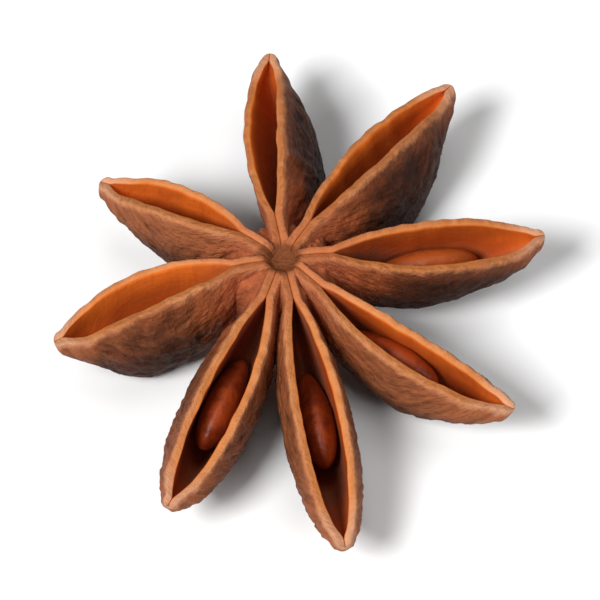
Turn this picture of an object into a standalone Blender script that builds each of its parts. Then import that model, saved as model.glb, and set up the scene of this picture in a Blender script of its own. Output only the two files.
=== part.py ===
"""Star anise pod: eight boat-shaped follicles joined on one column, with a seed lying in four of them.

+Z is up and the pod lies with its sutures up, as it does on a table. The column stands on the Z axis,
and the flat broken end of the stalk is centred on the origin. Sizes are in millimetres and angles in
degrees until a mesh is made, which is in metres.
"""

import math
from dataclasses import dataclass

import bpy
from mathutils import Matrix

MM = 0.001

# The suture is the upper edge of a follicle, the keel its lower edge and the beak its pointed end.
COLUMN_HEIGHT = 8.8
SUTURE_CREST = 0.25
SUTURE_FALL_POWER = 1.9
BEAK_DIP = 0.3
BEAK_AT = 0.86
BEAK_DIP_LENGTH = 0.08
KEEL_ROOT_HEIGHT = 3.0
KEEL_LOWEST = -0.12
KEEL_TIP_DROP = 1.2
KEEL_FALL_POWER = 1.5
KEEL_RISE_POWER = 1.3
BEAK_ROUND_AT = 0.975
BEAK_END_SIZE = 0.55

ROOT_RADIUS = 0.7
OPENING_START_RADIUS = 3.5
OPENING_END_GAP = 0.75
OPENING_WIDEST = 0.55
OPENING_POWER = 0.85
LIP_WIDTH = 0.52
LIP_WIDTH_ROOT = 0.50
LIP_WIDTH_TIP = 0.54
SHOULDER_WIDTH = 0.26
SHOULDER_DEPTH = 0.45
BULGE_DEPTH = 0.45
CAVITY_WALL = 0.60
CAVITY_DEPTH = 0.80

STALK_RADIUS = 2.0
DIMPLE_RADIUS = 1.0
DIMPLE_DEPTH = 0.9

SEED_LENGTH = 7.5
SEED_HEIGHT = 3.6
SEED_THICKNESS = 2.5
SEED_BELOW_LIPS = 1.8
SEED_POINTEDNESS = 1.12
SEED_TAPER = 0.12

# Shares of the way down at which an outline has points, and how squarely it turns in at its lower end.
FLANK_DEPTHS = (0, 0.07, 0.18, 0.36, 0.58, 0.8, 0.94)
FLANK_TURN_IN = (2.8, 0.75)
CAVITY_DEPTHS = (0.0, 0.14, 0.36, 0.6, 0.82, 0.95)
CAVITY_TURN_IN = (3, 0.6)
LEAST_OPENING = 0.02
CUT_ABOVE_LIPS = 1.0
CUT_PAST_LIPS = 0.02

STATIONS = 14
CAVITY_STATIONS = 11
COLUMN_SIDES = 32
SEED_RINGS = 10
SEED_SIDES = 14


@dataclass(frozen=True)
class Follicle:
    """One carpel. heading is counterclockwise from +X. roll swings the keel clockwise under the lips,
    and bend bows the lips counterclockwise by that much halfway along."""

    name: str
    heading: float
    reach: float
    tip_height: float
    belly_at: float
    gape: float
    bulge: float
    roll: float = 0.0
    bend: float = 0.0
    seed_radius: float = 0.0
    seed_sink: float = 0.0


FOLLICLES = (
    Follicle("east", 9.5, 18.4, 6.6, 0.48, 1.44, 0.50, roll=-6, bend=-0.62, seed_radius=10.0, seed_sink=0.2),
    Follicle("north_east", 52.5, 19.4, 6.3, 0.58, 1.12, 0.55, roll=19, bend=0.50),
    Follicle("north", 93, 18.0, 6.4, 0.55, 1.05, 0.45, roll=28, bend=0.85),
    Follicle("north_west", 150, 14.7, 6.6, 0.50, 0.92, 0.38, roll=-2, bend=-0.40),
    Follicle("west", 198.5, 16.6, 6.2, 0.60, 1.42, 0.52, roll=-13, bend=-0.75),
    Follicle("south_west", 246.5, 19.6, 6.0, 0.60, 1.22, 0.85, roll=9, bend=0.55, seed_radius=10.2),
    Follicle("south", 281.5, 21.4, 5.6, 0.59, 1.25, 0.62, bend=0.10, seed_radius=10.8),
    Follicle(
        "south_east", 326.3, 19.0, 6.2, 0.56, 0.98, 0.80, roll=-3, bend=-1.18, seed_radius=9.6, seed_sink=-0.3
    ),
)


def mix(a, b, share):
    return a + (b - a) * share


def smooth_step(share):
    share = min(1.0, max(0.0, share))
    return share * share * (3 - 2 * share)


def suture_height(follicle, along):
    """Height of the lips: nearly level from the column, then falling to the beak, which turns up a little."""
    fall = (COLUMN_HEIGHT - follicle.tip_height) * along**SUTURE_FALL_POWER
    crest = SUTURE_CREST * math.sin(math.pi * along**0.8)
    dip = BEAK_DIP * math.exp(-(((along - BEAK_AT) / BEAK_DIP_LENGTH) ** 2))
    return COLUMN_HEIGHT + crest - fall - dip


def keel_height(follicle, along):
    """Height of the lower edge: down from the stalk to the belly, then sweeping up to the beak."""
    if along < follicle.belly_at:
        rise = KEEL_ROOT_HEIGHT - KEEL_LOWEST
        return KEEL_LOWEST + rise * (1 - along / follicle.belly_at) ** KEEL_FALL_POWER
    rise = follicle.tip_height - KEEL_TIP_DROP - KEEL_LOWEST
    return KEEL_LOWEST + rise * ((along - follicle.belly_at) / (1 - follicle.belly_at)) ** KEEL_RISE_POWER


def radius_at(follicle, along):
    return mix(ROOT_RADIUS, follicle.reach, along)


def along_at(follicle, radius):
    return (radius - ROOT_RADIUS) / (follicle.reach - ROOT_RADIUS)


def opening_share(follicle, along):
    """0 where the suture is shut, and 1 where the opening is widest, just past the middle."""
    start = along_at(follicle, OPENING_START_RADIUS)
    end = along_at(follicle, follicle.reach - OPENING_END_GAP)
    share = (along - start) / (end - start)
    if not 0 < share < 1:
        return 0.0
    fall_power = OPENING_POWER * (1 - OPENING_WIDEST) / OPENING_WIDEST
    return (share / OPENING_WIDEST) ** OPENING_POWER * ((1 - share) / (1 - OPENING_WIDEST)) ** fall_power


def lip_width(along):
    grown = mix(LIP_WIDTH_ROOT, LIP_WIDTH, smooth_step(along / 0.35))
    return mix(grown, LIP_WIDTH_TIP, smooth_step((along - 0.7) / 0.3))


def swell(follicle, along, depth):
    """How far the flank stands out past its lip at a depth, from 0 at the lips to 1 at the keel."""
    return follicle.bulge * math.sin(math.pi * along) ** 0.8 * smooth_step(depth / BULGE_DEPTH)


def turn_in(depth, powers):
    """Share of its width that an outline keeps at a depth, from 1 at the top to 0 at the bottom."""
    return (1 - depth ** powers[0]) ** powers[1]


def shoulder(drop):
    """How far the husk stands out past its lip at that many millimetres below it."""
    return SHOULDER_WIDTH * (1 - math.exp(-drop / SHOULDER_DEPTH))


def flank_half_width(follicle, along, depth, drop):
    lips = follicle.gape * opening_share(follicle, along) + lip_width(along)
    return (lips + shoulder(drop) + swell(follicle, along, depth)) * turn_in(depth, FLANK_TURN_IN)


def place(follicle, along, across, height):
    """A point of the follicle in the pod's frame. across is to the left of its heading."""
    lean = math.radians(follicle.roll) * smooth_step(along / 0.4) * smooth_step((1 - along) / 0.3)
    below = suture_height(follicle, along) - height
    left = across * math.cos(lean) - below * math.sin(lean) + follicle.bend * math.sin(math.pi * along)
    up = height - across * math.sin(lean)
    out = radius_at(follicle, along)
    turn = math.radians(follicle.heading)
    x = out * math.cos(turn) - left * math.sin(turn)
    y = out * math.sin(turn) + left * math.cos(turn)
    return x, y, max(up, 0.0)


def shell_ring(follicle, along):
    """The outline outside at a station: across the top, down the right flank and up the left one."""
    top, bottom = suture_height(follicle, along), keel_height(follicle, along)
    size = BEAK_END_SIZE if along > BEAK_ROUND_AT else 1.0
    bottom = mix(top, bottom, size)
    flank = []
    for depth in FLANK_DEPTHS:
        half = flank_half_width(follicle, along, depth, depth * (top - bottom)) * size
        flank.append((half, mix(top, bottom, depth)))
    right = [(-half, height) for half, height in flank]
    outline = [(0.0, top), *right, (0.0, bottom), *reversed(flank)]
    return [place(follicle, along, across, height) for across, height in outline]


def cavity_ring(follicle, along, opened):
    """The outline of the hollow at a station, drawn past the lips so that it cuts them clean."""
    top, bottom = suture_height(follicle, along), keel_height(follicle, along)
    opened = max(opened, LEAST_OPENING)
    floor = CAVITY_DEPTH * opened**0.35
    lips = follicle.gape * opened
    outline = []
    for depth in CAVITY_DEPTHS:
        stand_out = shoulder(depth * floor * (top - bottom)) + swell(follicle, along, depth * floor)
        grown = max(0.0, stand_out + LIP_WIDTH - CAVITY_WALL)
        room = (lips + grown * opened**0.5) * turn_in(depth, CAVITY_TURN_IN)
        outline.append((max(room, CUT_PAST_LIPS), mix(top, bottom, depth * floor)))
    above = [(lips + CUT_PAST_LIPS, top + CUT_ABOVE_LIPS)]
    right = [(-half, height) for half, height in above + outline]
    ring = [*right, (0.0, mix(top, bottom, floor)), *reversed(outline), *above]
    return [place(follicle, along, across, height) for across, height in ring]


def loft(name, rings):
    """A closed body through rings that have the same number of points, in millimetres."""
    sides = len(rings[0])
    points = [tuple(value * MM for value in point) for ring in rings for point in ring]
    faces = [tuple(reversed(range(sides))), tuple(range(len(points) - sides, len(points)))]
    for ring in range(len(rings) - 1):
        for side in range(sides):
            a, b = ring * sides + side, ring * sides + (side + 1) % sides
            faces.append((a, b, b + sides, a + sides))
    mesh = bpy.data.meshes.new(name)
    mesh.from_pydata(points, [], faces)
    mesh.update()
    body = bpy.data.objects.new(name, mesh)
    bpy.context.scene.collection.objects.link(body)
    return body


def follicle_shell(follicle):
    """The follicle as a solid, before its hollow is cut. The last station only rounds off the beak."""
    stations = [BEAK_ROUND_AT * n / (STATIONS - 2) for n in range(STATIONS - 1)] + [1.0]
    return loft("shell_" + follicle.name, [shell_ring(follicle, along) for along in stations])


def follicle_cavity(follicle):
    start = along_at(follicle, OPENING_START_RADIUS)
    end = along_at(follicle, follicle.reach - OPENING_END_GAP)
    rings = []
    for n in range(CAVITY_STATIONS):
        share = 0.5 - 0.5 * math.cos(math.pi * n / (CAVITY_STATIONS - 1))
        along = mix(start, end, share)
        rings.append(cavity_ring(follicle, along, opening_share(follicle, along)))
    return loft("cavity_" + follicle.name, rings)


def turned(name, profile):
    """A closed body of revolution on the Z axis, through (radius, height) points from bottom to top."""
    turns = [2 * math.pi * side / COLUMN_SIDES for side in range(COLUMN_SIDES)]
    rings = []
    for radius, height in profile:
        rings.append([(radius * math.cos(turn), radius * math.sin(turn), height) for turn in turns])
    return loft(name, rings)


def column():
    """The core that joins the follicles, from the stalk's flat end up to the rim of the dimple."""
    profile = [
        (STALK_RADIUS, 0.0),
        (STALK_RADIUS, 1.4),
        (2.6, 2.8),
        (3.2, 4.4),
        (3.2, 6.6),
        (2.6, 8.0),
        (1.7, COLUMN_HEIGHT - 0.05),
    ]
    return turned("pod", profile)


def dimple():
    """The hollow at the top of the column, cut once the follicles have joined it."""
    profile = [
        (DIMPLE_RADIUS * 0.4, COLUMN_HEIGHT - DIMPLE_DEPTH),
        (DIMPLE_RADIUS * 0.8, COLUMN_HEIGHT - DIMPLE_DEPTH * 0.75),
        (DIMPLE_RADIUS, COLUMN_HEIGHT),
        (DIMPLE_RADIUS, COLUMN_HEIGHT + 1.0),
    ]
    return turned("dimple", profile)


def seed(follicle):
    """A flattened oval on its edge along the hollow, narrower at the end next to the column."""
    middle = along_at(follicle, follicle.seed_radius)
    top = suture_height(follicle, middle) - SEED_BELOW_LIPS - follicle.seed_sink
    rings = []
    for n in range(1, SEED_RINGS):
        angle = math.pi * n / SEED_RINGS
        girth = math.sin(angle) ** SEED_POINTEDNESS * (1 - SEED_TAPER * math.cos(angle))
        offset = -SEED_LENGTH / 2 * math.cos(angle)
        along = along_at(follicle, follicle.seed_radius + offset)
        ring = []
        for side in range(SEED_SIDES):
            turn = 2 * math.pi * side / SEED_SIDES
            across = SEED_THICKNESS / 2 * girth * math.cos(turn)
            height = top - SEED_HEIGHT / 2 * (1 - girth * math.sin(turn))
            ring.append(place(follicle, along, across, height))
        rings.append(ring)
    return loft("seed_" + follicle.name, rings)


def principled(name, colour, roughness):
    material = bpy.data.materials.new(name)
    material.use_nodes = True
    shader = material.node_tree.nodes["Principled BSDF"]
    shader.inputs["Base Color"].default_value = (*colour, 1.0)
    shader.inputs["Roughness"].default_value = roughness
    shader.inputs["Metallic"].default_value = 0.0
    return material


def use_as_tool(body, target, operation):
    """Joins body to target or cuts it away, and hides it as a tool of that step."""
    step = target.modifiers.new(f"{operation.lower()} {body.name}", "BOOLEAN")
    step.operation = operation
    step.solver = "EXACT"
    step.object = body
    body.hide_render = True
    body.display_type = "WIRE"
    body.parent = target
    body.matrix_parent_inverse = Matrix.Identity(4)


def pod(husk):
    """The woody pod, one solid: the column and all the follicles, hollowed where they have split open."""
    body = column()
    for follicle in FOLLICLES:
        use_as_tool(follicle_shell(follicle), body, "UNION")
    for follicle in FOLLICLES:
        use_as_tool(follicle_cavity(follicle), body, "DIFFERENCE")
    use_as_tool(dimple(), body, "DIFFERENCE")
    body.data.materials.append(husk)
    return body


def main():
    for old in list(bpy.data.objects):
        bpy.data.objects.remove(old)
    husk = principled("husk", (0.20, 0.065, 0.025), 0.7)
    glossy = principled("seed_coat", (0.23, 0.055, 0.012), 0.2)
    pod(husk)
    for follicle in FOLLICLES:
        if follicle.seed_radius:
            body = seed(follicle)
            body.data.materials.append(glossy)
            body.data.shade_smooth()


main()
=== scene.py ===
"""Builds a dried star anise pod with its seeds, on a plain studio stage."""

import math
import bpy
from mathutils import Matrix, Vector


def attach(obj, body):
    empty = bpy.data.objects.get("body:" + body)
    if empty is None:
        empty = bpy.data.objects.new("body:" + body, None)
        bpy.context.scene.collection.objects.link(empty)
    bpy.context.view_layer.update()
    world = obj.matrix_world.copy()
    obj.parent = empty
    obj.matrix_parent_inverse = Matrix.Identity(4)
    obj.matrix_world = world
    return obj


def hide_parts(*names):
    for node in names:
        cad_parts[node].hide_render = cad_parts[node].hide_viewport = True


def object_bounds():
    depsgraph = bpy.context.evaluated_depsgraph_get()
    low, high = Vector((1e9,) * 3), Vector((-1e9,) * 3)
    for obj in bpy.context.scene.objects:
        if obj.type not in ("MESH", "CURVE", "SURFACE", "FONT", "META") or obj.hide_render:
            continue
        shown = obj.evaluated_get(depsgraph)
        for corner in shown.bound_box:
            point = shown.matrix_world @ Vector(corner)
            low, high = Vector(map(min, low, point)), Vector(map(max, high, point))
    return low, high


bl_info = {
    "name": "Star Anise Pod",
    "version": (1, 0, 0),
    "blender": (4, 5, 0),
    "location": "View3D > Sidebar > Star Anise",
    "description": "Builds a dried star anise pod with open follicles and glossy seeds",
    "category": "Add Mesh",
}

from dataclasses import dataclass

import bpy
import numpy as np
from mathutils import Vector, noise

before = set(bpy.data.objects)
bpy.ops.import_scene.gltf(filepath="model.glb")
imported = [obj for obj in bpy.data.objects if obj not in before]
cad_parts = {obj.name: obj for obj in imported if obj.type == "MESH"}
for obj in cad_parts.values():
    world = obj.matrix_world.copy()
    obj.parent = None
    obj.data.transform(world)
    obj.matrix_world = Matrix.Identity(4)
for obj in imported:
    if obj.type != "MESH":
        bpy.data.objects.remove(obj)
SOLID_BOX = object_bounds()

MM = 0.001

# The suture is the upper edge of a follicle, the keel its lower edge and the beak its pointed end. Down to
# the lamps, lengths are in millimetres, heights from the stalk's end and radii from the pod's axis. What
# ends in AT is a share of the way along, and what ends in SHARE is a share of a length, depth or turn.
# Angles are in radians where nothing else is said.
COLUMN_HEIGHT = 8.8
SUTURE_CREST = 0.25
SUTURE_CREST_POWER = 0.8
SUTURE_FALL_POWER = 1.9
BEAK_DIP = 0.3
BEAK_DIP_AT = 0.86
BEAK_DIP_SHARE = 0.08
KEEL_ROOT_HEIGHT = 3.0
KEEL_LOWEST = -0.12
KEEL_TIP_DROP = 1.2
KEEL_FALL_POWER = 1.5
KEEL_RISE_POWER = 1.3
ROOT_RADIUS = 0.7
LEAN_ROOT_SHARE = 0.4
LEAN_TIP_SHARE = 0.3
LOWEST_POINT = 0.01
LEAST_LENGTH = 1e-9

DIMPLE_RADIUS = 0.64
DIMPLE_DEPTH = 0.9
DIMPLE_SLOPE = 0.85
DIMPLE_UNEVENNESS = 0.5
DIMPLE_NOISE_PLACE = (1.7, 0.4)

OPENING_START_RADIUS = 3.5
OPENING_END_GAP = 0.75
OPENING_WIDEST_AT = 0.55
OPENING_POWER = 0.85
OPENING_EASED_RINGS = 9
LEAST_OPENED_SHARE = 0.0002
LEAST_GAPE = 0.012

LIP_WIDTH_ROOT = 0.50
LIP_WIDTH_TIP = 0.54
LIP_ROOT_SHARE = 0.35
LIP_TIP_AT = 0.7
LIP_TIP_SHARE = 0.3
LIP_EDGE_DROP_SHARE = 0.35
LIP_CREST_POWERS = (0.85, 0.7)
LIP_WAVES_FULL_RADIUS = 5
LIP_WAVES_ROOT_SHARE = 0.3
LIP_SLACK_GROWTH = 3

SHOULDER_WIDTH = 0.26
SHOULDER_DEPTH = 0.45
BULGE_DEPTH_SHARE = 0.45
BULGE_POWER = 0.8
FLANK_TURN_IN = (2.8, 0.75)
CAVITY_SWELL_SHARE = 0.25
CAVITY_DEPTH_SHARE = 0.8
CAVITY_DEPTH_POWER = 0.35
CAVITY_TURN_IN = (3, 0.6)

BEAK_ROUND_AT = 0.968
BEAK_TURN_SHARE = 0.97
BEAK_PALE_AT = 0.80
BEAK_PALE_SHARE = 0.18

SEED_LENGTH = 7.5
SEED_HEIGHT = 3.6
SEED_THICKNESS = 2.5
SEED_BELOW_LIPS = 1.8
SEED_POLE_ANGLE = 0.02
SEED_POINTEDNESS = 1.12
SEED_TAPER = 0.12
SEED_SIDE_POWER = 0.92
SEED_RIDGE = 0.07
SEED_RIDGE_ANGLE = 0.35
# The seed lies this much lower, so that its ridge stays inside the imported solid.
SEED_LOWERED = 0.06
SEED_SCAR = 0.28
SEED_SCAR_ANGLE = 0.16
SEED_UNEVENNESS = 0.03
SEED_LUMPS_ALONG = 1.4
SEED_LUMPS_ROUND = 1.1
SEED_LAYER_STEP = 5.1

# The core that joins the follicles, as radius and height from under the stalk's end, up its side and over
# its top into the dimple. Past CORE_RADIUS it is only a web between neighbouring follicles, whose angles
# are in degrees from the nearer one's heading.
COLUMN_PROFILE = (
    (0.05, 0.50),
    (0.7, 0.46),
    (1.25, 0.36),
    (1.5, 0.10),
    (1.62, 0.01),
    (1.88, 0.01),
    (2.0, 0.12),
    (1.98, 0.7),
    (2.05, 1.4),
    (2.7, 2.2),
    (3.6, 3.1),
    (4.3, 4.2),
    (4.5, 5.6),
    (4.1, 6.8),
    (3.4, 7.6),
    (2.6, 8.1),
    (1.9, 8.35),
    (1.4, 8.5),
    (1.1, 8.45),
    (0.85, 8.2),
    (0.6, 8.02),
    (0.3, 7.96),
    (0.05, 7.94),
)
COLUMN_ROUNDED_RINGS = 5
CORE_RADIUS = 2.9
WEB_START_ANGLE = 4
WEB_RISE_ANGLE = 6
WEB_SAG_START_ANGLE = 11
WEB_SAG_ANGLE = 9
WEB_SAG_SHARE = 0.50

# Points of the meshes: rings along a piece, and points round each ring.
STATIONS = 190
BEAK_STATIONS = 12
OUTER_POINTS = 64
LIP_POINTS = 9
INNER_POINTS = 30
FLANK_END = 2 * OUTER_POINTS - 1
LEFT_LIP_END = FLANK_END + LIP_POINTS
ROOM_END = LEFT_LIP_END + 2 * INNER_POINTS - 1
COLUMN_RINGS = 150
COLUMN_SIDES = 128
SEED_RINGS = 64
SEED_SIDES = 56
STEP_CROWDING = 0.7


@dataclass(frozen=True)
class Follicle:
    """One carpel. heading is counterclockwise from +X, and roll swings the keel clockwise under the lips,
    both in degrees. gape is half the opening's greatest width, and bulge how far a flank stands out past
    its lip. bend bows the lips counterclockwise by that much halfway along. tone makes the husk paler, or
    darker below 0, where it also paints light on the follicle's seed. painted_shade_shift is how much
    sooner, in mm, the painted shade of the hollow deepens down the lining."""

    name: str
    heading: float
    reach: float
    tip_height: float
    belly_at: float
    gape: float
    bulge: float
    roll: float = 0.0
    bend: float = 0.0
    seed_radius: float = 0.0
    seed_sink: float = 0.0
    tone: float = 0.0
    painted_shade_shift: float = 0.0


FOLLICLES = (
    Follicle(
        "east", 9.5, 18.4, 6.6, 0.48, 1.44, 0.50, roll=-6, bend=-0.62, seed_radius=10.0, seed_sink=0.2,
        tone=-0.8, painted_shade_shift=0.5,
    ),
    Follicle("north_east", 52.5, 19.4, 6.3, 0.58, 1.12, 0.55, roll=19, bend=0.50, tone=-0.35, painted_shade_shift=0.1),
    Follicle("north", 93, 18.0, 6.4, 0.55, 1.05, 0.45, roll=28, bend=0.85, tone=-0.25, painted_shade_shift=0.7),
    Follicle("north_west", 150, 14.7, 6.6, 0.50, 0.92, 0.38, roll=-2, bend=-0.40, tone=1.0, painted_shade_shift=-1.0),
    Follicle("west", 198.5, 16.6, 6.2, 0.60, 1.42, 0.52, roll=-13, bend=-0.75, tone=0.25, painted_shade_shift=-0.2),
    Follicle(
        "south_west", 246.5, 19.6, 6.0, 0.60, 1.22, 0.85, roll=9, bend=0.55, seed_radius=10.2,
        tone=0.45, painted_shade_shift=1.8,
    ),
    Follicle(
        "south", 281.5, 21.4, 5.6, 0.59, 1.25, 0.62, bend=0.10, seed_radius=10.8,
        tone=0.7, painted_shade_shift=1.8,
    ),
    Follicle(
        "south_east", 326.3, 19.0, 6.2, 0.56, 0.98, 0.80, roll=-3, bend=-1.18, seed_radius=9.6,
        seed_sink=-0.3, tone=0.8, painted_shade_shift=0.3,
    ),
)


@dataclass(frozen=True)
class Relief:
    """One kind of unevenness: features in each millimetre along and round a piece, how strong it is, and
    its own layer of noise."""

    along: float
    around: float
    strength: float
    layer: float = 0.0

    def at(self, u, v, layer):
        return self.strength * grain(u * self.along, v * self.around, layer + self.layer)


# Wrinkles of the bark. Folds and creases run outward along a flank, slant a little upward and sway.
LUMPS = Relief(0.28, 0.34, 0.24)
SWAY = Relief(0.45, 0.45, 0.8, 5.1)
FOLDS = Relief(0.50, 0.95, 0.32, 11.3)
CREASES = Relief(1.15, 1.9, 0.30, 23.7)
PITS = Relief(2.6, 3.0, 0.14, 37.9)
FOLD_SHARPNESS = 2.6
FOLD_SLANT = 0.45
FOLLICLE_LAYER = 3.0
FOLLICLE_LAYER_STEP = 7.31
WRINKLE_LAYER = 40
WRINKLES_FROM = 0.2
WRINKLES_GROWTH = 2.0
WRINKLES_MIDDLE = 0.25

# Unevenness of the lips. Each side of a follicle takes a row of the noise for itself, so here around is
# how far that row lies from the noise's middle.
LONG_WAVES = Relief(0.55, 4.0, 1.0)
SHORT_WAVES = Relief(1.7, 6.0, 0.5)
LIP_SLACK = Relief(0.8, 9.0, 0.08)
LIP_THICKNESS = Relief(1.1, 12.0, 0.15)

# Faint ribs of the inner walls.
LINING_RIBS = Relief(0.5, 1.0, 0.03, 70)
LINING_RIBS_ACROSS = 2.2
LINING_RIBS_DOWN = 0.6
LINING_FROM = -0.3
LINING_GROWTH = 2

# The column's ribs, in features for each radian round it, its pitting and the fibres of the stalk's end,
# in features for each millimetre, and where each begins and how far it takes to grow. The column counts
# as bark, so its points are marked as far outside the lips.
COARSE_RIBS = 3.2
COARSE_RIB_TWIST = 0.12
FINE_RIBS = 7.5
FINE_RIB_TWIST = 0.3
FINE_RIB_LAYER = 5
RIBS_FROM_RADIUS = 0.9
RIBS_GROWTH = 1.2
COARSE_PITTING = 1.3
FINE_PITTING = 3.1
PITTING_LAYER = 9
FINE_STRENGTH = 0.5
RIB_SWING = 0.10
PITTING_SWING = 0.16
SWING_FULL_RADIUS = 0.6
SWING_FROM_HEIGHT = 0.1
SWING_GROWTH = 0.6
TOP_PITTING_FROM = 7
TOP_PITTING_GROWTH = 0.5
STALK_FIBRES = 4.5
STALK_FIBRE_LAYER = 31.0
STALK_FIBRE_DEPTH = 0.12
STALK_END_HEIGHT = 0.6
STALK_END_GROWTH = 0.5
STALK_END_RADIUS = 1.7
STALK_END_MARGIN = 0.3
COLUMN_RIM = 5


@dataclass(frozen=True)
class Lamp:
    """A square soft light, in metres and watts, aimed at the pod's middle."""

    name: str
    place: tuple
    size: float
    energy: float


LAMPS = (
    Lamp("key_light", (-0.30, -0.26, 0.50), 0.23, 4.75),
    Lamp("fill_light", (0.34, -0.28, 0.38), 0.20, 1.0),
    Lamp("top_light", (0.04, 0.10, 0.60), 0.30, 0.70),
)
SURROUNDINGS_STRENGTH = 0.10
CAMERA_ELEVATION = math.radians(60)
CAMERA_DISTANCE = 0.5
CAMERA_LIFT = 0.0004
CAMERA_CLIP_START = 0.01
SENSOR_WIDTH = 36
VIEW_WIDTH_IN_PODS = 1.22


def length_property(name, description, default, least, most):
    """A length of the pod that a user may change, given in millimetres."""
    return bpy.props.FloatProperty(
        name=name,
        description=description,
        default=default * MM,
        min=least * MM,
        max=most * MM,
        subtype="DISTANCE",
        unit="LENGTH",
    )


class PodSizes(bpy.types.PropertyGroup):
    """Sizes of the pod's surface detail and of the stage."""

    lip_width: length_property("Lip width", "Thickness of a wall at its split edge", 0.52, 0.2, 1.2)
    lip_rounding: length_property("Lip rounding", "How far a lip's edges fall below its middle", 0.16, 0, 0.3)
    lip_waviness: length_property("Lip waviness", "How far a lip wanders up and down", 0.10, 0, 0.3)
    wrinkle_depth: length_property("Wrinkle depth", "Depth of the dry wrinkles outside", 0.22, 0, 0.5)
    floor_size: bpy.props.FloatProperty(
        name="Floor size",
        description="Width of the floor under the pod",
        default=3.0,
        min=0.2,
        subtype="DISTANCE",
        unit="LENGTH",
    )


def colour_property(name, description, default):
    return bpy.props.FloatVectorProperty(
        name=name, description=description, default=default, min=0.0, max=1.0, size=3, subtype="COLOR"
    )


class PodColours(bpy.types.PropertyGroup):
    """Colours of the husk, the seeds and the stage."""

    # husk_dark is also the colour of the painted shade low on the flanks and in the wrinkle valleys.
    husk_dark: colour_property("Husk, dark", "Wrinkle valleys and shaded bark", (0.030, 0.0090, 0.0040))
    husk_mid: colour_property("Husk, middle", "Most of the outside", (0.088, 0.0210, 0.0078))
    husk_pale: colour_property("Husk, pale", "Dry bloom on the ridges", (0.355, 0.109, 0.040))
    husk_root: colour_property("Husk, root", "Redder husk next to the column", (0.460, 0.112, 0.034))
    husk_speckle: colour_property("Husk, speckle", "Tint of the finest dark specks", (0.45, 0.38, 0.34))
    lip_pale: colour_property("Lips, pale", "Split edges where they are driest", (0.520, 0.198, 0.072))
    lip_deep: colour_property("Lips, deep", "Split edges where they are darker", (0.430, 0.142, 0.044))
    lip_outer: colour_property("Lips, outer", "Outer side of the split edges", (0.470, 0.200, 0.106))
    lip_inner: colour_property("Lips, inner", "Inner side of the split edges", (0.590, 0.188, 0.043))
    lip_root: colour_property("Lips, root", "Redder edges where the follicles meet", (0.400, 0.110, 0.048))
    beak: colour_property("Beaks", "Driest wood at the pointed ends", (0.640, 0.360, 0.240))
    lining_bright: colour_property("Lining, bright", "Inner wall just under the lips", (0.660, 0.140, 0.017))
    # lining_mottle_and_painted_shade is both the darker mottling of the inner wall and the painted shade
    # lower in the hollow; lining_bottom_painted_shade is painted shade at the hollow's bottom.
    lining_mottle_and_painted_shade: colour_property("Lining, deep", "Lower part of the inner wall", (0.390, 0.064, 0.011))
    lining_bottom_painted_shade: colour_property("Lining, bottom", "Bottom of the hollow", (0.200, 0.075, 0.043))
    dimple: colour_property("Dimple", "Dull hollow at the middle of the star", (0.185, 0.056, 0.020))
    seed_light: colour_property("Seed, light", "Lighter part of a seed coat", (0.280, 0.042, 0.0065))
    seed_dark: colour_property("Seed, dark", "Darker part of a seed coat", (0.112, 0.013, 0.002))
    # Painted light: seed_painted_lit is a lit copy of the seed colour, for the seed that lies in light in the
    # east follicle.
    seed_painted_lit: colour_property("Seed, bright", "Coat of the palest seed", (0.330, 0.066, 0.010))
    floor: colour_property("Floor", "Plain pale floor", (0.900, 0.900, 0.900))


def mix(a, b, share):
    return a + (b - a) * share


def smooth_step(share):
    share = np.clip(share, 0.0, 1.0)
    return share * share * (3 - 2 * share)


def grain(x, y, z):
    """Smooth noise from -1 to 1, for arrays of one shape."""
    x, y, z = np.broadcast_arrays(x, y, z)
    values = [noise.noise(Vector(point)) for point in zip(x.ravel(), y.ravel(), z.ravel())]
    return np.array(values).reshape(x.shape)


def eased(count):
    """Steps from 0 to 1 that crowd together towards 1."""
    share = np.linspace(0, 1, count)
    return mix(share, 1 - (1 - share) ** 2, STEP_CROWDING)


def eased_over(column, count):
    """The same column of numbers, with its corners rounded over a few rows."""
    ends = np.pad(column[:, 0], count // 2, mode="edge")
    window = np.hanning(count + 2)
    return np.convolve(ends, window[1:-1] / window.sum(), "valid")[:, None]


def turned_in(share, powers):
    """1 at the top of a wall, turning in to 0 at its lower edge."""
    return (1 - share ** powers[0]) ** powers[1]


def bell(value, width):
    return np.exp(-((value / width) ** 2))


def suture_height(follicle, along):
    """Height of the lips: nearly level from the column, then falling to the beak, which turns up a little."""
    fall = (COLUMN_HEIGHT - follicle.tip_height) * along**SUTURE_FALL_POWER
    crest = SUTURE_CREST * np.sin(math.pi * along**SUTURE_CREST_POWER)
    dip = BEAK_DIP * bell(along - BEAK_DIP_AT, BEAK_DIP_SHARE)
    return COLUMN_HEIGHT + crest - fall - dip


def keel_height(follicle, along):
    """Height of the lower edge: down from the stalk to the belly, then sweeping up to the beak."""
    belly = follicle.belly_at
    root = (KEEL_ROOT_HEIGHT - KEEL_LOWEST) * np.clip(1 - along / belly, 0, 1) ** KEEL_FALL_POWER
    beak_rise = follicle.tip_height - KEEL_TIP_DROP - KEEL_LOWEST
    beak = beak_rise * np.clip((along - belly) / (1 - belly), 0, 1) ** KEEL_RISE_POWER
    return KEEL_LOWEST + root + beak


def along_at(follicle, radius):
    return (radius - ROOT_RADIUS) / (follicle.reach - ROOT_RADIUS)


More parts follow.
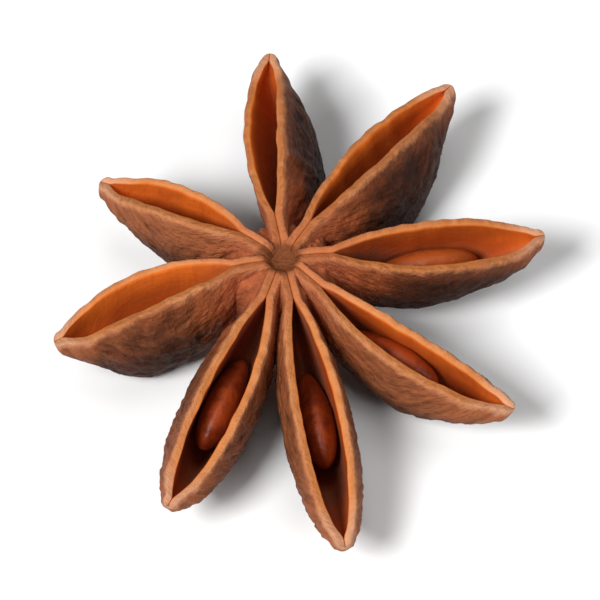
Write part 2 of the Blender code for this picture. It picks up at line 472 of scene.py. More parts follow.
def opening_share(follicle, along):
    """0 where the suture is shut, and 1 where the opening is widest, just past the middle."""
    start = along_at(follicle, OPENING_START_RADIUS)
    end = along_at(follicle, follicle.reach - OPENING_END_GAP)
    share = np.clip((along - start) / (end - start), 0, 1)
    rise = (share / OPENING_WIDEST_AT) ** OPENING_POWER
    fall_power = OPENING_POWER * (1 - OPENING_WIDEST_AT) / OPENING_WIDEST_AT
    return rise * ((1 - share) / (1 - OPENING_WIDEST_AT)) ** fall_power


def lip_width(along, width):
    grown = mix(LIP_WIDTH_ROOT, width, smooth_step(along / LIP_ROOT_SHARE))
    return mix(grown, LIP_WIDTH_TIP, smooth_step((along - LIP_TIP_AT) / LIP_TIP_SHARE))


def swell(follicle, along, depth):
    """How far the flank stands out past its lip at a depth, from 0 at the lips to 1 at the keel."""
    return follicle.bulge * np.sin(math.pi * along) ** BULGE_POWER * smooth_step(depth / BULGE_DEPTH_SHARE)


def place(follicle, along, across, height):
    """Points of the follicle in the pod's frame. across is to the left of its heading."""
    lean = math.radians(follicle.roll) * smooth_step(along / LEAN_ROOT_SHARE)
    lean = lean * smooth_step((1 - along) / LEAN_TIP_SHARE)
    below = suture_height(follicle, along) - height
    left = across * np.cos(lean) - below * np.sin(lean) + follicle.bend * np.sin(math.pi * along)
    up = height - across * np.sin(lean)
    out = mix(ROOT_RADIUS, follicle.reach, along)
    turn = math.radians(follicle.heading)
    x = out * math.cos(turn) - left * math.sin(turn)
    y = out * math.sin(turn) + left * math.cos(turn)
    return np.stack([x, y, up], axis=-1)


def grid_normals(points):
    """Outward normals of a tube of rings, given as (ring, side, xyz)."""
    round_the_ring = np.roll(points, -1, axis=1) - np.roll(points, 1, axis=1)
    along_the_tube = np.gradient(points, axis=0)
    normals = np.cross(round_the_ring, along_the_tube)
    length = np.linalg.norm(normals, axis=2, keepdims=True)
    return normals / np.maximum(length, LEAST_LENGTH)


def tube(name, points, marks):
    """A closed mesh through rings of points in millimetres, with a named mark for each point."""
    rings, sides = points.shape[:2]
    index = np.arange(rings * sides).reshape(rings, sides)
    beside = np.roll(index, -1, axis=1)
    quads = np.stack([index[:-1], beside[:-1], beside[1:], index[1:]], axis=-1).reshape(-1, 4)
    faces = quads.tolist() + [index[0, ::-1].tolist(), index[-1].tolist()]
    mesh = bpy.data.meshes.new(name)
    mesh.from_pydata((points.reshape(-1, 3) * MM).tolist(), [], faces)
    for label, values in marks.items():
        if values.ndim == 3:
            data, field = mesh.attributes.new(label, "FLOAT_VECTOR", "POINT").data, "vector"
        else:
            data, field = mesh.attributes.new(label, "FLOAT", "POINT").data, "value"
        data.foreach_set(field, np.ascontiguousarray(values, dtype=np.float32).ravel())
    mesh.shade_smooth()
    mesh.update()
    piece = bpy.data.objects.new(name, mesh)
    bpy.context.scene.collection.objects.link(piece)
    return piece


def wrinkles(u, v, layer):
    """Height of the dry husk's wrinkles, about -1 to 1. u runs along a follicle and v round it, in mm."""
    sway = SWAY.at(u, v, layer)
    slant = u - FOLD_SLANT * np.abs(v) + sway
    folds = grain(slant * FOLDS.along, v * FOLDS.around + sway, layer + FOLDS.layer)
    creases = grain(slant * CREASES.along, v * CREASES.around - sway, layer + CREASES.layer)
    total = LUMPS.at(u, v, layer) + FOLDS.strength * (1 - FOLD_SHARPNESS * np.abs(folds))
    return total + CREASES.strength * (1 - FOLD_SHARPNESS * np.abs(creases)) + PITS.at(u, v, layer)


@dataclass
class Rings:
    """What a follicle's rings are drawn from, each a column with one row for each ring. size is 1 and falls
    almost to 0 round the beak, and opened rises almost to 1 where the gape is widest."""

    along: np.ndarray
    size: np.ndarray
    radius: np.ndarray
    top: np.ndarray
    bottom: np.ndarray
    opened: np.ndarray
    lip_width: np.ndarray


def follicle_rings(follicle, layer, sizes):
    """Rings from the dimple's edge to the rounded beak. Known fault: inside ROOT_RADIUS along is below 0 and
    its powers are NaN, so the first few rings of most follicles have no heights."""
    hollow = DIMPLE_RADIUS * (1 + DIMPLE_UNEVENNESS * noise.noise(Vector((layer, *DIMPLE_NOISE_PLACE))))
    body = np.linspace(along_at(follicle, hollow), BEAK_ROUND_AT, STATIONS)
    turn = np.linspace(0, math.pi / 2 * BEAK_TURN_SHARE, BEAK_STATIONS + 1)[1:]
    along = np.concatenate([body, BEAK_ROUND_AT + (1 - BEAK_ROUND_AT) * np.sin(turn)])[:, None]
    size = np.concatenate([np.ones(STATIONS), np.cos(turn)])[:, None]
    radius = mix(ROOT_RADIUS, follicle.reach, along)
    root = np.clip((radius - hollow) / DIMPLE_SLOPE, 0, 1)
    top = suture_height(follicle, along) - DIMPLE_DEPTH * (1 - root) ** 2
    bottom = mix(top, keel_height(follicle, along), size)
    opened = eased_over(opening_share(follicle, along), OPENING_EASED_RINGS)
    width = lip_width(along, sizes.lip_width / MM) * size
    return Rings(along, size, radius, top, bottom, opened, width)


def lip_steps():
    """Steps over a lip, from next to the flank to next to the inner wall."""
    return np.linspace(0, 1, LIP_POINTS + 2)[1:-1]


def half_section(follicle, side, layer, rings, sizes):
    """One side of every ring, as across and height for the flank, the lip and the inner wall."""
    along, radius, opened = rings.along, rings.radius, rings.opened
    outer, lip, inner = eased(OUTER_POINTS), lip_steps(), eased(INNER_POINTS)
    growth = np.clip(radius / LIP_WAVES_FULL_RADIUS, LIP_WAVES_ROOT_SHARE, 1)
    waves = LONG_WAVES.at(radius, side, layer) + SHORT_WAVES.at(radius, side, layer)
    crest = rings.top + sizes.lip_waviness / MM * growth * waves
    edge = crest - LIP_EDGE_DROP_SHARE * (sizes.lip_rounding / MM * rings.size)
    slack = LIP_SLACK.at(radius, side, layer) * np.minimum(1, opened * LIP_SLACK_GROWTH)
    gape = np.maximum(follicle.gape * opened + slack * opened**0.5, LEAST_GAPE)
    lips = gape + rings.lip_width * (1 + LIP_THICKNESS.at(radius, side, layer))

    flank_height = mix(edge, rings.bottom, outer)
    shoulder = SHOULDER_WIDTH * (1 - np.exp(-(edge - flank_height) / SHOULDER_DEPTH))
    flank = (lips + (shoulder + swell(follicle, along, outer)) * rings.size) * turned_in(outer, FLANK_TURN_IN)

    over = np.sin(math.pi * lip ** LIP_CREST_POWERS[0]) ** LIP_CREST_POWERS[1]
    lip_across = mix(lips, gape, lip)
    lip_height = mix(edge, crest, over)

    depth = CAVITY_DEPTH_SHARE * np.maximum(opened, LEAST_OPENED_SHARE) ** CAVITY_DEPTH_POWER
    grown = CAVITY_SWELL_SHARE * swell(follicle, along, inner * depth)
    room = (gape + grown * opened**0.5) * turned_in(inner, CAVITY_TURN_IN)
    room = np.where(opened > 0, room, np.minimum(room, LEAST_GAPE))
    room_height = mix(edge, mix(edge, rings.bottom, depth), inner)
    return (side * flank, flank_height), (side * lip_across, lip_height), (side * room, room_height)


def joined_halves(right, left):
    """Whole rings from their two halves: both flanks by way of the keel, a lip, both walls and a lip."""
    (flank, lip, room), (left_flank, left_lip, left_room) = right, left
    return np.hstack([flank, left_flank[:, -2::-1], left_lip, left_room, room[:, -2::-1], lip[:, ::-1]])


def rim_distance(width, drop):
    """How far each point is from the middle of its lip, in mm: above 0 outside and below 0 inside."""
    past_lip = np.broadcast_to(width / 2, drop.shape) + drop
    rim = np.zeros_like(drop)
    rim[:, :FLANK_END] = past_lip[:, :FLANK_END]
    rim[:, FLANK_END:LEFT_LIP_END] = mix(width / 2, -width / 2, lip_steps())
    rim[:, LEFT_LIP_END:ROOM_END] = -past_lip[:, LEFT_LIP_END:ROOM_END]
    rim[:, ROOM_END:] = mix(-width / 2, width / 2, lip_steps())
    return rim


def flank_girth(points):
    """Length round the outside from the keel, for each point of the flanks."""
    steps = np.linalg.norm(np.diff(points[:, :FLANK_END], axis=1), axis=2)
    girth = np.hstack([np.zeros((len(points), 1)), np.cumsum(steps, axis=1)])
    return girth - girth[:, OUTER_POINTS - 1 : OUTER_POINTS]


def follicle_points(follicle, number, sizes):
    """Rings of points round one open follicle, from the column to the beak, and the marks of each point."""
    layer = FOLLICLE_LAYER_STEP * number + FOLLICLE_LAYER
    rings = follicle_rings(follicle, layer, sizes)
    right = half_section(follicle, -1, layer, rings, sizes)
    left = half_section(follicle, 1, layer, rings, sizes)
    across, height = (joined_halves(*halves) for halves in zip(zip(*right), zip(*left)))
    points = place(follicle, rings.along, across, height)

    drop = np.maximum(rings.top - height, 0)
    rim = rim_distance(rings.lip_width, drop)
    girth = flank_girth(points)
    strands = np.abs(girth[:, -1:]) + np.broadcast_to(rings.lip_width / 2, drop.shape) - rim
    strands[:, :FLANK_END] = np.abs(girth)

    relief = np.zeros_like(drop)
    relief[:, :FLANK_END] = wrinkles(rings.radius, girth, layer + WRINKLE_LAYER)
    fade = smooth_step((rim - WRINKLES_FROM) / WRINKLES_GROWTH) * rings.size
    ribs = LINING_RIBS.at(rings.radius, across * LINING_RIBS_ACROSS + height * LINING_RIBS_DOWN, layer)
    ribs = ribs * (rim < LINING_FROM) * np.minimum(1, rings.opened * LINING_GROWTH)
    bump = sizes.wrinkle_depth / MM * fade * (relief - WRINKLES_MIDDLE) + ribs
    points = points + grid_normals(points) * bump[:, :, None]
    points[:, :, 2] = np.maximum(points[:, :, 2], LOWEST_POINT)

    ones = np.ones_like(drop)
    marks = {
        "rim": rim,
        "radius": rings.radius * ones,
        "drop": drop,
        "relief": relief * np.where(rim > 0, 1, 0),
        "beak": smooth_step((rings.along - BEAK_PALE_AT) / BEAK_PALE_SHARE) * ones,
        "tone": follicle.tone * ones,
        "painted_shade_shift": follicle.painted_shade_shift * ones,
        "skin": np.stack([rings.radius * ones, strands, layer * ones], axis=-1),
    }
    return points, marks


def column_outline():
    """The column's profile as even steps with rounded corners: a column of radii and one of heights."""
    profile = np.array(COLUMN_PROFILE)
    step = np.concatenate([[0], np.cumsum(np.linalg.norm(np.diff(profile, axis=0), axis=1))])
    walk = np.linspace(0, step[-1], COLUMN_RINGS)
    kernel = np.ones(COLUMN_ROUNDED_RINGS) / COLUMN_ROUNDED_RINGS
    kept = COLUMN_ROUNDED_RINGS // 2
    columns = []
    for values in profile.T:
        even = np.interp(walk, step, values)
        even[kept:-kept] = np.convolve(even, kernel, "valid")
        columns.append(even[:, None])
    return columns


def web_share(turn):
    """How far the web reaches at each angle: 0 along a follicle, 1 beside it and less in wide gaps."""
    headings = np.radians([follicle.heading for follicle in FOLLICLES])[:, None]
    apart = np.degrees(np.abs(np.angle(np.exp(1j * (turn - headings))))).min(axis=0)
    sag = WEB_SAG_SHARE * smooth_step((apart - WEB_SAG_START_ANGLE) / WEB_SAG_ANGLE)
    return (smooth_step((apart - WEB_START_ANGLE) / WEB_RISE_ANGLE) * (1 - sag))[None, :]


def column_points():
    """Rings of points round the core that joins the follicles, from under the stalk to inside the dimple."""
    radius, height = column_outline()
    turn = np.linspace(0, 2 * math.pi, COLUMN_SIDES, endpoint=False)[None, :]
    c, s = np.cos(turn), np.sin(turn)
    radius = np.minimum(radius, CORE_RADIUS) + np.maximum(radius - CORE_RADIUS, 0) * web_share(turn)

    def pitting(scale):
        return grain(c * radius * scale, s * radius * scale, height * scale + PITTING_LAYER)

    fine_ribs = grain(c * FINE_RIBS, s * FINE_RIBS, height * FINE_RIB_TWIST + FINE_RIB_LAYER)
    ribs = grain(c * COARSE_RIBS, s * COARSE_RIBS, height * COARSE_RIB_TWIST) + FINE_STRENGTH * fine_ribs
    ribs = ribs * smooth_step((radius - RIBS_FROM_RADIUS) / RIBS_GROWTH)
    rough = pitting(COARSE_PITTING) + FINE_STRENGTH * pitting(FINE_PITTING)

    end = smooth_step((STALK_END_HEIGHT - height) / STALK_END_GROWTH)
    end = end * smooth_step((STALK_END_RADIUS - radius) / STALK_END_MARGIN)
    fibres = grain(c * radius * STALK_FIBRES, s * radius * STALK_FIBRES, STALK_FIBRE_LAYER)
    z = height + STALK_FIBRE_DEPTH * fibres * end
    z = z + PITTING_SWING * rough * smooth_step((height - TOP_PITTING_FROM) / TOP_PITTING_GROWTH)
    swing = (RIB_SWING * ribs + PITTING_SWING * rough) * smooth_step(radius / SWING_FULL_RADIUS)
    swing = swing * smooth_step((height - SWING_FROM_HEIGHT) / SWING_GROWTH)
    x, y = (radius + swing) * c, (radius + swing) * s
    points = np.stack([x, y, np.maximum(z, LOWEST_POINT)], axis=-1)

    ones = np.ones_like(x)
    marks = {
        "rim": COLUMN_RIM * ones,
        "radius": radius * ones,
        "drop": (COLUMN_HEIGHT - height) * ones,
        "relief": (ribs + rough) / 2,
        "beak": 0 * ones,
        "tone": 0 * ones,
        "painted_shade_shift": 0 * ones,
        "skin": np.stack([x, y, ones * height], axis=-1),
    }
    return points, marks


def seed_points(follicle, number):
    """Rings of points round a seed: a flattened oval on its edge, with a ridge along its back."""
    middle = along_at(follicle, follicle.seed_radius)
    top = suture_height(follicle, middle) - SEED_BELOW_LIPS - follicle.seed_sink
    angle = np.linspace(SEED_POLE_ANGLE, math.pi - SEED_POLE_ANGLE, SEED_RINGS)[:, None]
    turn = np.linspace(0, 2 * math.pi, SEED_SIDES, endpoint=False)[None, :]
    c, s = np.cos(turn), np.sin(turn)
    girth = np.sin(angle) ** SEED_POINTEDNESS * (1 - SEED_TAPER * np.cos(angle))
    ridge = SEED_RIDGE * bell(turn - math.pi / 2, SEED_RIDGE_ANGLE)
    layer = SEED_LAYER_STEP * number
    lumps = grain(angle * SEED_LUMPS_ALONG, c * SEED_LUMPS_ROUND, s * SEED_LUMPS_ROUND + layer)
    uneven = 1 + SEED_UNEVENNESS * lumps
    across = SEED_THICKNESS / 2 * girth * (np.sign(c) * np.abs(c) ** SEED_SIDE_POWER) * uneven
    height = top - SEED_HEIGHT / 2 * (1 - girth * s * uneven) - SEED_LOWERED + ridge * girth
    scar = SEED_SCAR * bell(angle - SEED_POLE_ANGLE, SEED_SCAR_ANGLE)
    radius = follicle.seed_radius - SEED_LENGTH / 2 * np.cos(angle)
    points = place(follicle, along_at(follicle, radius + scar), across, height)
    ones = np.ones_like(across)
    # seed_painted_light is painted light from 0 to 1, lightening the seed of a follicle whose tone is below
    # 0.
    return points, {"length": angle / math.pi * ones, "seed_painted_light": max(0, -follicle.tone) * ones}


def add(tree, kind, **values):
    node = tree.nodes.new(kind)
    for name, value in values.items():
        setattr(node, name, value)
    return node


def attribute(tree, name, output="Fac"):
    return add(tree, "ShaderNodeAttribute", attribute_name=name).outputs[output]


def remap(tree, value, levels, results=(0.0, 1.0)):
    """value from the first level to the second becomes the first result to the second, eased at both ends."""
    node = add(tree, "ShaderNodeMapRange", interpolation_type="SMOOTHSTEP")
    tree.links.new(value, node.inputs["Value"])
    node.inputs["From Min"].default_value, node.inputs["From Max"].default_value = levels
    node.inputs["To Min"].default_value, node.inputs["To Max"].default_value = results
    return node.outputs["Result"]


def sums(tree, operation, first, second):
    node = add(tree, "ShaderNodeMath", operation=operation)
    for socket, value in zip(node.inputs, (first, second)):
        if isinstance(value, (int, float)):
            socket.default_value = value
        else:
            tree.links.new(value, socket)
    return node.outputs["Value"]


def product(tree, first, second):
    return sums(tree, "MULTIPLY", first, second)


@dataclass(frozen=True)
class Pattern:
    """Noise for a material: features in each unit of its space, how fine and rough it is, how far it is
    squeezed along each axis, and the two levels that it is spread between."""

    scale: float
    detail: float = 4.0
    roughness: float = 0.55
    squeeze: tuple = (1, 1, 1)
    levels: tuple = (0.3, 0.7)


def noise_at(tree, pattern, vector=None):
    """The pattern's noise where vector says, or else in object space, in metres."""
    if vector is None:
        vector = add(tree, "ShaderNodeTexCoord").outputs["Object"]
    mapping = add(tree, "ShaderNodeMapping")
    mapping.inputs["Scale"].default_value = pattern.squeeze
    tree.links.new(vector, mapping.inputs["Vector"])
    node = add(tree, "ShaderNodeTexNoise")
    tree.links.new(mapping.outputs["Vector"], node.inputs["Vector"])
    node.inputs["Scale"].default_value = pattern.scale
    node.inputs["Detail"].default_value = pattern.detail
    node.inputs["Roughness"].default_value = pattern.roughness
    return node.outputs["Fac"]


def spread(tree, pattern, results=(0.0, 1.0), vector=None):
    """The pattern's noise, spread from the first result to the second."""
    return remap(tree, noise_at(tree, pattern, vector), pattern.levels, results)


def blend(tree, factor, first, second, blend_type="MIX"):
    """first where factor is 0 and second where it is 1. Either may be a colour or a socket."""
    node = add(tree, "ShaderNodeMix", data_type="RGBA", blend_type=blend_type)
    for socket, value in ((node.inputs[0], factor), (node.inputs[6], first), (node.inputs[7], second)):
        if isinstance(value, bpy.types.NodeSocket):
            tree.links.new(value, socket)
        elif isinstance(value, (int, float)):
            socket.default_value = value
        else:
            socket.default_value = (*value, 1.0)
    return node.outputs[2]


def bare_material(name):
    material = bpy.data.materials.new(name)
    material.use_nodes = True
    return material, material.node_tree, material.node_tree.nodes["Principled BSDF"]


def bumped(tree, shader, height, distance):
    node = add(tree, "ShaderNodeBump")
    node.inputs["Distance"].default_value = distance
    node.inputs["Strength"].default_value = 1.0
    tree.links.new(height, node.inputs["Height"])
    tree.links.new(node.outputs["Normal"], shader.inputs["Normal"])


# What each point of the husk's meshes is marked with, as numbers.
HUSK_MARKS = ("rim", "radius", "drop", "relief", "beak", "tone", "painted_shade_shift")

# Patterns that follow the skin of a follicle, in features for each millimetre.
BARK_PATCHES = Pattern(0.42, 5, 0.6, levels=(0.36, 0.66))
BARK_STREAKS = Pattern(1.0, 5, 0.62, (0.55, 1.9, 1), (0.36, 0.66))
RUST_PATCHES = Pattern(0.7, levels=(0.34, 0.60))
WARM_PATCHES = Pattern(0.8, 3, levels=(0.35, 0.65))
LIP_FIBRES = Pattern(0.7, 5, 0.6, (1.5, 0.6, 1), (0.38, 0.62))
LINING_WASHES = Pattern(0.40, 5, 0.62, (1.0, 0.7, 1), (0.42, 0.68))
LINING_THREADS = Pattern(1.0, 4, 0.6, (4.0, 0.45, 1), (0.46, 0.72))
LINING_STAINS = Pattern(0.9, 5, 0.65, levels=(0.56, 0.74))
FINE_STRANDS = Pattern(1.0, 4, 0.6, (1.2, 3.0, 1))

# Patterns in the pod's own space, in features for each metre.
SPECKLE = Pattern(3200, 3, 0.7, levels=(0.35, 0.7))
RAGGED_EDGE = Pattern(900, 4, 0.6, levels=(0.25, 0.75))
RAGGED_MIDDLE = Pattern(650, levels=(0.25, 0.75))
HUSK_SHEEN = Pattern(2000, 3)
FINE_GRIT = Pattern(2600, 5, 0.65)
SEED_MOTTLE = Pattern(420, 5, 0.65, levels=(0.36, 0.66))
SEED_SHEEN = Pattern(1100)
SEED_SURFACE = Pattern(900)
FLOOR_TINT = Pattern(30, 3)

# Where each look begins and is complete: drops under the lips, radii and distances from the middle of a
# lip, all in millimetres, levels of the wrinkles' relief and of the streaks' noise, and shares of a seed's
# length from its scarred end.
RIDGES = (-0.10, 0.70)
# VALLEYS and VALLEY_SHADE set the painted shade in the wrinkle valleys.
VALLEYS = (0.05, -0.45)
DRY_STREAKS = (0.30, 0.62)
RUST_RADII = (9.6, 4.0)
RUST_DROPS = (7.5, 4.0)
# WARM_DROPS places a band under each lip that is partly the husk's own paler colour and partly painted light.
WARM_DROPS = (1.6, 0.5)
# SHADED_DROPS and SHADED_RADII place the painted shade low on the flanks.
SHADED_DROPS = (1.6, 4.6)
SHADED_RADII = (4.0, 8.0)
LIP_OUTER_SIDE = (0.15, 0.65)
LIP_INNER_SIDE = (0.12, -0.24)
# Painted shade of the hollows: radii where it grows towards the column, per-follicle shifts, and distances
# inside the lips.
NARROW_RADII = (9.5, 5.0)
NARROW_PAINTED_SHADE_SHIFTS = (-0.2, 0.3)
LINING_DEEP_RIM = (-0.5, -3.6)
LINING_BOTTOM_RIM = (-3.2, -5.6)
BARK_FROM_LIP = (0.24, 0.80)
LINING_FROM_LIP = (-0.12, -0.50)
REDDER_RADII = (6.5, 2.5)
DIMPLE_RADII = (1.9, 0.9)
SHEEN_RIM = (-0.2, 0.4)
GRIT_RIM = (-0.3, 0.3)
SEED_SCARRED_END = (0.16, 0.02)

# How strong each look is where it is complete, or what its noise is spread between. Bumps are in metres.
BLOOM = (0.0, 0.38)
RUST = (0.35, 0.90)
LIP_BAND_AND_LIGHT_SHARE = 0.28
SPECKLING = 0.4
DARK_TONE = -0.9
PALE_TONE = (0.35, 0.95)
SHADE = 0.75
TIP_BLOOM = (0.25, 0.75)
VALLEY_SHADE = 0.45
TONE_DRYNESS = 0.5
OUTER_SIDE = (0.0, 0.5)
INNER_SIDE = (0.0, 0.6)
BEAK_DRYNESS = 0.5
NARROW_PAINTED_SHADE = (0.0, 2.2)
BOTTOM_PAINTED_SHADE = (0.0, 0.85)
WASHES = 0.45
THREADS = 0.35
STAINS = 0.35
RAGGED_BY = (-0.20, 0.20)
MIDDLE_RAGGED_BY = (-0.6, 0.6)
REDNESS = 0.50
HUSK_ROUGHNESS = (0.38, 0.52)
HUSK_ROUGHNESS_SPREAD = (-0.06, 0.08)
HUSK_SPECULAR = 0.10
HUSK_GRIT = (0.15, 1.0)
HUSK_BUMP = 0.00022
SEED_ROUGHNESS = (0.36, 0.56)
SEED_SPECULAR = 0.22
SEED_COAT = 0.05
SEED_COAT_ROUGHNESS = 0.32
SEED_BUMP = 0.00018
FLOOR_TINT_BY = 0.985
FLOOR_ROUGHNESS = 0.6


def bark_colour(tree, colours, marks, skin):
    """Dark bark: paler on ridges, beaks and dry follicles, rusty next to the column, and warmer and paler in
    a band under a lip, partly the husk's own colour and partly painted light on the lit upper flank. Painted
    shade darkens the lower flanks and the wrinkle valleys.
    """
    relief, radius, drop, tone = marks["relief"], marks["radius"], marks["drop"], marks["tone"]
    bark = blend(tree, spread(tree, BARK_PATCHES, vector=skin), colours.husk_dark, colours.husk_mid)
    streaks = noise_at(tree, BARK_STREAKS, skin)
    bloom = product(tree, remap(tree, relief, RIDGES), remap(tree, streaks, BARK_STREAKS.levels, BLOOM))
    bark = blend(tree, bloom, bark, colours.husk_pale)
    bark = blend(tree, product(tree, tone, DARK_TONE), bark, colours.husk_dark)
    near_root = product(tree, remap(tree, radius, RUST_RADII), remap(tree, drop, RUST_DROPS))
    rusty = product(tree, near_root, spread(tree, RUST_PATCHES, RUST, skin))
    bark = blend(tree, rusty, bark, colours.husk_root)
    lip_band_and_painted_light = blend(tree, spread(tree, WARM_PATCHES, vector=skin), colours.husk_root, colours.husk_pale)
    # A paler, warmer band just under each lip: partly the husk's own colour near the lips, partly painted
    # light on the lit upper flank.
    bark = blend(tree, product(tree, remap(tree, drop, WARM_DROPS), LIP_BAND_AND_LIGHT_SHARE), bark, lip_band_and_painted_light)
    speckled = product(tree, spread(tree, SPECKLE), SPECKLING)
    bark = blend(tree, speckled, bark, colours.husk_speckle, "MULTIPLY")
    dry_husk = product(tree, tone, remap(tree, streaks, DRY_STREAKS, PALE_TONE))
    bark = blend(tree, dry_husk, bark, colours.husk_pale)
    # Painted shade: the bark is darkened low on the flanks, away from the column, where shade falls under the
    # follicles.
    low = product(tree, remap(tree, drop, SHADED_DROPS), remap(tree, radius, SHADED_RADII))
    bark = blend(tree, product(tree, low, SHADE), bark, colours.husk_dark)
    dry_tip = product(tree, marks["beak"], remap(tree, streaks, DRY_STREAKS, TIP_BLOOM))
    bark = blend(tree, dry_tip, bark, colours.husk_pale)
    # Painted shade in the wrinkle valleys: the bark is darkened where the relief is low.
    return blend(tree, product(tree, remap(tree, relief, VALLEYS), VALLEY_SHADE), bark, colours.husk_dark)


def lip_colour(tree, colours, marks, skin):
    """Fibrous split edges: warm on their inner side, pale on their outer side and palest at the beaks."""
    fibres = spread(tree, LIP_FIBRES, vector=skin)
    dryness = sums(tree, "ADD", fibres, product(tree, marks["tone"], TONE_DRYNESS))
    edge = blend(tree, dryness, colours.lip_deep, colours.lip_pale)
    edge = blend(tree, remap(tree, marks["rim"], LIP_OUTER_SIDE, OUTER_SIDE), edge, colours.lip_outer)
    edge = blend(tree, remap(tree, marks["rim"], LIP_INNER_SIDE, INNER_SIDE), edge, colours.lip_inner)
    return blend(tree, product(tree, marks["beak"], BEAK_DRYNESS), edge, colours.beak)


def lining_colour(tree, colours, marks, skin):
    """Satin inner wall: bright under the lips, then darkened by painted shade with depth down the hollow and
    towards its narrow end by the column, faintly streaked.
    """
    narrow_end_shade = product(
        tree,
        remap(tree, marks["radius"], NARROW_RADII, NARROW_PAINTED_SHADE),
        remap(tree, marks["painted_shade_shift"], NARROW_PAINTED_SHADE_SHIFTS),
    )
    # Painted shade of the hollow: the lining darkens with depth below the lip, sooner where
    # painted_shade_shift is larger and near the column where the hollow narrows.
    depth = sums(tree, "SUBTRACT", marks["rim"], sums(tree, "ADD", marks["painted_shade_shift"], narrow_end_shade))
    lining = blend(tree, remap(tree, depth, LINING_DEEP_RIM), colours.lining_bright, colours.lining_mottle_and_painted_shade)
    lining = blend(tree, remap(tree, depth, LINING_BOTTOM_RIM, BOTTOM_PAINTED_SHADE), lining, colours.lining_bottom_painted_shade)
    washes = product(tree, spread(tree, LINING_WASHES, vector=skin), WASHES)
    lining = blend(tree, washes, lining, colours.lining_mottle_and_painted_shade)
    threads = product(tree, spread(tree, LINING_THREADS, vector=skin), THREADS)
    lining = blend(tree, threads, lining, colours.lining_mottle_and_painted_shade)
    stains = product(tree, spread(tree, LINING_STAINS, vector=skin), STAINS)
    return blend(tree, stains, lining, colours.lip_deep)


def husk_material(colours):
    """Dry woody husk: wrinkled and dark outside, pale and fibrous on the lips, satin orange-brown inside."""
    material, tree, shader = bare_material("dry_husk")
    marks = {name: attribute(tree, name) for name in HUSK_MARKS}
    skin = attribute(tree, "skin", "Vector")
    rim = marks["rim"]

    lips = lip_colour(tree, colours, marks, skin)
    bark = bark_colour(tree, colours, marks, skin)
    lining = lining_colour(tree, colours, marks, skin)
    ragged = sums(tree, "ADD", rim, spread(tree, RAGGED_EDGE, RAGGED_BY))
    surface = blend(tree, remap(tree, ragged, BARK_FROM_LIP), lips, bark)
    surface = blend(tree, remap(tree, rim, LINING_FROM_LIP), surface, lining)
    middle = sums(tree, "ADD", marks["radius"], spread(tree, RAGGED_MIDDLE, MIDDLE_RAGGED_BY))
    redder = product(tree, remap(tree, middle, REDDER_RADII), REDNESS)
    surface = blend(tree, redder, surface, colours.lip_root)
    surface = blend(tree, remap(tree, middle, DIMPLE_RADII), surface, colours.dimple)
    tree.links.new(surface, shader.inputs["Base Color"])

    rough = remap(tree, rim, SHEEN_RIM, HUSK_ROUGHNESS)
    rough = sums(tree, "ADD", rough, spread(tree, HUSK_SHEEN, HUSK_ROUGHNESS_SPREAD))
    tree.links.new(rough, shader.inputs["Roughness"])
    shader.inputs["Specular IOR Level"].default_value = HUSK_SPECULAR

    fine = sums(tree, "ADD", noise_at(tree, FINE_GRIT), noise_at(tree, FINE_STRANDS, skin))
    bumped(tree, shader, product(tree, fine, remap(tree, rim, GRIT_RIM, HUSK_GRIT)), HUSK_BUMP)
    return material


def seed_material(colours):
    """Hard glossy seed coat, mottled red-brown, darker at its scarred end, and lightened by painted light in
    a follicle whose tone is below 0.
    """
    material, tree, shader = bare_material("glossy_seed_coat")
    colour = blend(tree, spread(tree, SEED_MOTTLE), colours.seed_dark, colours.seed_light)
    # Painted light: the seed coat is lightened towards seed_painted_lit where the seed lies in light.
    colour = blend(tree, attribute(tree, "seed_painted_light"), colour, colours.seed_painted_lit)
    colour = blend(tree, remap(tree, attribute(tree, "length"), SEED_SCARRED_END), colour, colours.seed_dark)
    tree.links.new(colour, shader.inputs["Base Color"])
    tree.links.new(spread(tree, SEED_SHEEN, SEED_ROUGHNESS), shader.inputs["Roughness"])
    shader.inputs["Specular IOR Level"].default_value = SEED_SPECULAR
    shader.inputs["Coat Weight"].default_value = SEED_COAT
    shader.inputs["Coat Roughness"].default_value = SEED_COAT_ROUGHNESS
    bumped(tree, shader, noise_at(tree, SEED_SURFACE), SEED_BUMP)
    return material


def floor_material(colours):
    """Plain pale floor with a very faint tint."""
    material, tree, shader = bare_material("pale_floor")
    pale = tuple(colours.floor)
    colour = blend(tree, spread(tree, FLOOR_TINT), pale, tuple(FLOOR_TINT_BY * value for value in pale))
    tree.links.new(colour, shader.inputs["Base Color"])
    shader.inputs["Roughness"].default_value = FLOOR_ROUGHNESS
    return material


def shared_material(name, make):
    return bpy.data.materials.get(name) or make(bpy.context.scene.star_anise_colours)


def finish_piece(piece, material, node):
    """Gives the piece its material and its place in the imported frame."""
    piece.data.materials.append(material)
    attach(piece, "root")
    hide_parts(node)


class STARANISE_OT_follicles(bpy.types.Operator):
    """Make the eight follicles, split open along their upper edges"""

    bl_idname = "star_anise.follicles"
    bl_label = "Follicles"

    def execute(self, context):
        husk = shared_material("dry_husk", husk_material)
        for number, follicle in enumerate(FOLLICLES):
            points, marks = follicle_points(follicle, number, context.scene.star_anise_sizes)
            finish_piece(tube("follicle_" + follicle.name, points, marks), husk, "pod")
        return {"FINISHED"}


class STARANISE_OT_column(bpy.types.Operator):
    """Make the column that joins the follicles, with its dimple and the stalk's broken end"""

    bl_idname = "star_anise.column"
    bl_label = "Column and stalk end"

    def execute(self, context):
        husk = shared_material("dry_husk", husk_material)
        points, marks = column_points()
        finish_piece(tube("column", points, marks), husk, "pod")
        return {"FINISHED"}


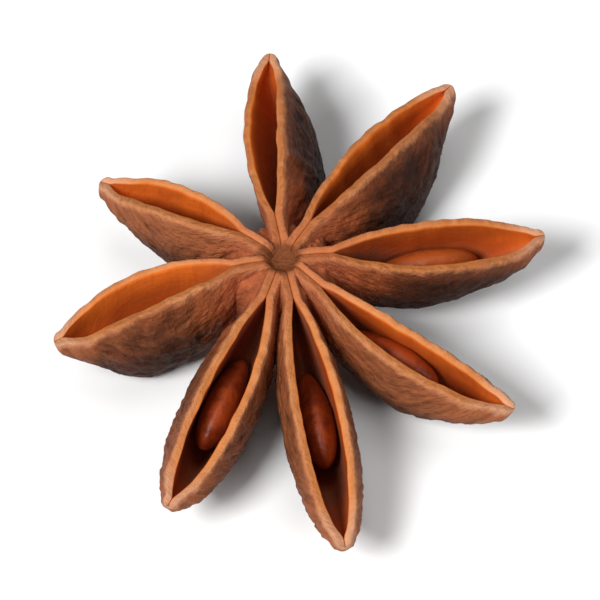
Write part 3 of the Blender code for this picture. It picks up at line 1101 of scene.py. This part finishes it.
class STARANISE_OT_seeds(bpy.types.Operator):
    """Make the glossy seeds that lie in the hollows"""

    bl_idname = "star_anise.seeds"
    bl_label = "Seeds"

    def execute(self, context):
        coat = shared_material("glossy_seed_coat", seed_material)
        for number, follicle in enumerate(FOLLICLES):
            if follicle.seed_radius:
                points, marks = seed_points(follicle, number)
                piece = tube("seed_coat_" + follicle.name, points, marks)
                finish_piece(piece, coat, "seed_" + follicle.name)
        return {"FINISHED"}


def put_floor(width):
    half = width / 2
    corners = [(-half, -half, 0), (half, -half, 0), (half, half, 0), (-half, half, 0)]
    mesh = bpy.data.meshes.new("floor")
    mesh.from_pydata(corners, [], [(0, 1, 2, 3)])
    floor = bpy.data.objects.new("floor", mesh)
    floor.data.materials.append(shared_material("pale_floor", floor_material))
    bpy.context.scene.collection.objects.link(floor)


def put_lamp(lamp, aim):
    light = bpy.data.lights.new(lamp.name, "AREA")
    light.size = lamp.size
    light.energy = lamp.energy
    holder = bpy.data.objects.new(lamp.name, light)
    holder.location = lamp.place
    holder.rotation_mode = "QUATERNION"
    holder.rotation_quaternion = (Vector(lamp.place) - aim).to_track_quat("Z", "Y")
    bpy.context.scene.collection.objects.link(holder)


def put_surroundings(scene):
    world = bpy.data.worlds.new("surroundings")
    world.use_nodes = True
    background = world.node_tree.nodes["Background"]
    background.inputs["Color"].default_value = (1, 1, 1, 1)
    background.inputs["Strength"].default_value = SURROUNDINGS_STRENGTH
    scene.world = world
    scene.view_settings.view_transform = "Standard"


def put_camera(scene, centre, pod_width):
    back = Vector((0, -math.cos(CAMERA_ELEVATION), math.sin(CAMERA_ELEVATION)))
    up = Vector((0, math.sin(CAMERA_ELEVATION), math.cos(CAMERA_ELEVATION)))
    camera = bpy.data.cameras.new("camera")
    camera.sensor_width = SENSOR_WIDTH
    camera.lens = camera.sensor_width * CAMERA_DISTANCE / (pod_width * VIEW_WIDTH_IN_PODS)
    camera.clip_start = CAMERA_CLIP_START
    holder = bpy.data.objects.new("camera", camera)
    holder.rotation_mode = "QUATERNION"
    holder.location = centre + up * CAMERA_LIFT + back * CAMERA_DISTANCE
    holder.rotation_quaternion = back.to_track_quat("Z", "Y")
    scene.collection.objects.link(holder)
    scene.camera = holder


class STARANISE_OT_stage(bpy.types.Operator):
    """Make the floor, the soft lights, the pale surroundings and the camera"""

    bl_idname = "star_anise.stage"
    bl_label = "Stage"

    def execute(self, context):
        scene = context.scene
        low, high = SOLID_BOX
        centre = (low + high) / 2
        put_floor(scene.star_anise_sizes.floor_size)
        for lamp in LAMPS:
            put_lamp(lamp, centre)
        put_surroundings(scene)
        put_camera(scene, centre, high.x - low.x)
        return {"FINISHED"}


STEPS = (STARANISE_OT_follicles, STARANISE_OT_column, STARANISE_OT_seeds, STARANISE_OT_stage)


class STARANISE_PT_panel(bpy.types.Panel):
    """Lists the pod's pieces, sizes and colours"""

    bl_label = "Star Anise"
    bl_idname = "STARANISE_PT_panel"
    bl_space_type = "VIEW_3D"
    bl_region_type = "UI"
    bl_category = "Star Anise"

    def draw(self, context):
        for step in STEPS:
            self.layout.operator(step.bl_idname)
        for group in (context.scene.star_anise_sizes, context.scene.star_anise_colours):
            box = self.layout.box()
            for name in group.__annotations__:
                box.prop(group, name)


CLASSES = (PodSizes, PodColours, *STEPS, STARANISE_PT_panel)


def register():
    for item in CLASSES:
        bpy.utils.register_class(item)
    bpy.types.Scene.star_anise_sizes = bpy.props.PointerProperty(type=PodSizes)
    bpy.types.Scene.star_anise_colours = bpy.props.PointerProperty(type=PodColours)


def unregister():
    del bpy.types.Scene.star_anise_colours
    del bpy.types.Scene.star_anise_sizes
    for item in reversed(CLASSES):
        bpy.utils.unregister_class(item)


def main():
    register()
    bpy.ops.star_anise.follicles()
    bpy.ops.star_anise.column()
    bpy.ops.star_anise.seeds()
    bpy.ops.star_anise.stage()


if __name__ == "__main__":
    main()
